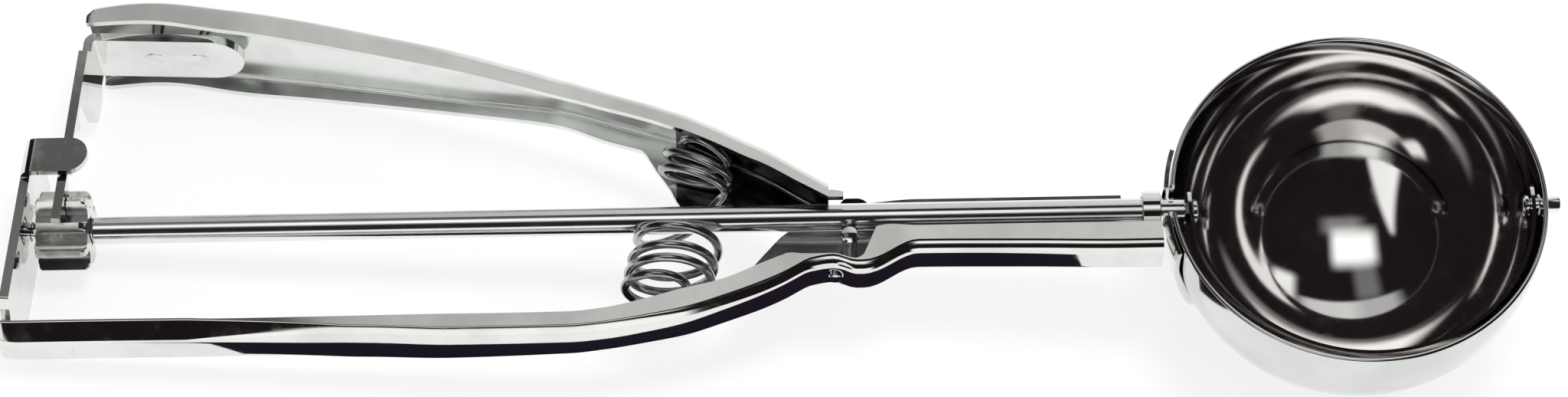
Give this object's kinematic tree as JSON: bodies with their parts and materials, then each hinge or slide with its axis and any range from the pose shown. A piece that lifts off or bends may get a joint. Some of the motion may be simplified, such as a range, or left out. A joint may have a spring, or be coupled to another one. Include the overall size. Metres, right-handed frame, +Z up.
{
  "type": "ice cream scoop",
  "caption": "Round-bowl ice cream scoop in polished steel: squeezing the sprung side handle drives a rack and pinion that turns a long rod and sweeps a curved blade round the bowl.",
  "frame": {"origin": "centre of the bounding box on the ground, with the scoop standing on its bowl, its end bracket and the squeezed handle", "axes": "+X along the tool from the end bracket to the bowl, +Y from the fixed handle to the squeezed handle, +Z up out of the bowl's mouth"},
  "size_m": [0.2028, 0.0556, 0.0307],
  "materials": {
    "polished_steel": "mirror polished stainless sheet",
    "bright_steel": "bright mirror polished stainless steel",
    "spring_wire": "drawn stainless wire"
  },
  "bodies": {
    "frame": {"fixed_handle": "polished_steel", "bowl": "bright_steel", "bowl_saddle": "polished_steel", "front_bearing": "polished_steel", "end_bracket": "polished_steel", "bracket_rivet_1": "bright_steel", "bracket_rivet_2": "bright_steel", "shank_rivet": "bright_steel", "pivot_pin": "bright_steel", "pivot_washer": "polished_steel", "spring": "spring_wire"},
    "squeezed_grip": {"squeeze_handle": "polished_steel", "rack": "polished_steel", "rack_rivet_1": "bright_steel", "rack_rivet_2": "bright_steel"},
    "rotor": {"rod": "bright_steel", "pinion": "polished_steel", "scraper_blade": "bright_steel", "tip_pin": "bright_steel"}
  },
  "joints": [
    {"name": "squeeze", "type": "hinge", "parent": "frame", "child": "squeezed_grip", "pos_m": [0.00856, -0.00742, 0.01757], "axis": [-0.1029, -0.0407, 0.9939], "range_deg": [0, 7.44], "stiffness_Nm_per_rad": 0.8, "springref_deg": -17.19, "deforming": ["spring"]},
    {"name": "rod_turn", "type": "hinge", "parent": "frame", "child": "rotor", "pos_m": [-0.02468, -0.00313, 0.0143], "axis": [0.9947, 0, 0.103], "range_deg": [0, 178.5]}
  ],
  "couplings": [
    {"joint": "rod_turn", "follows": "squeeze", "ratio": 23.93}
  ]
}
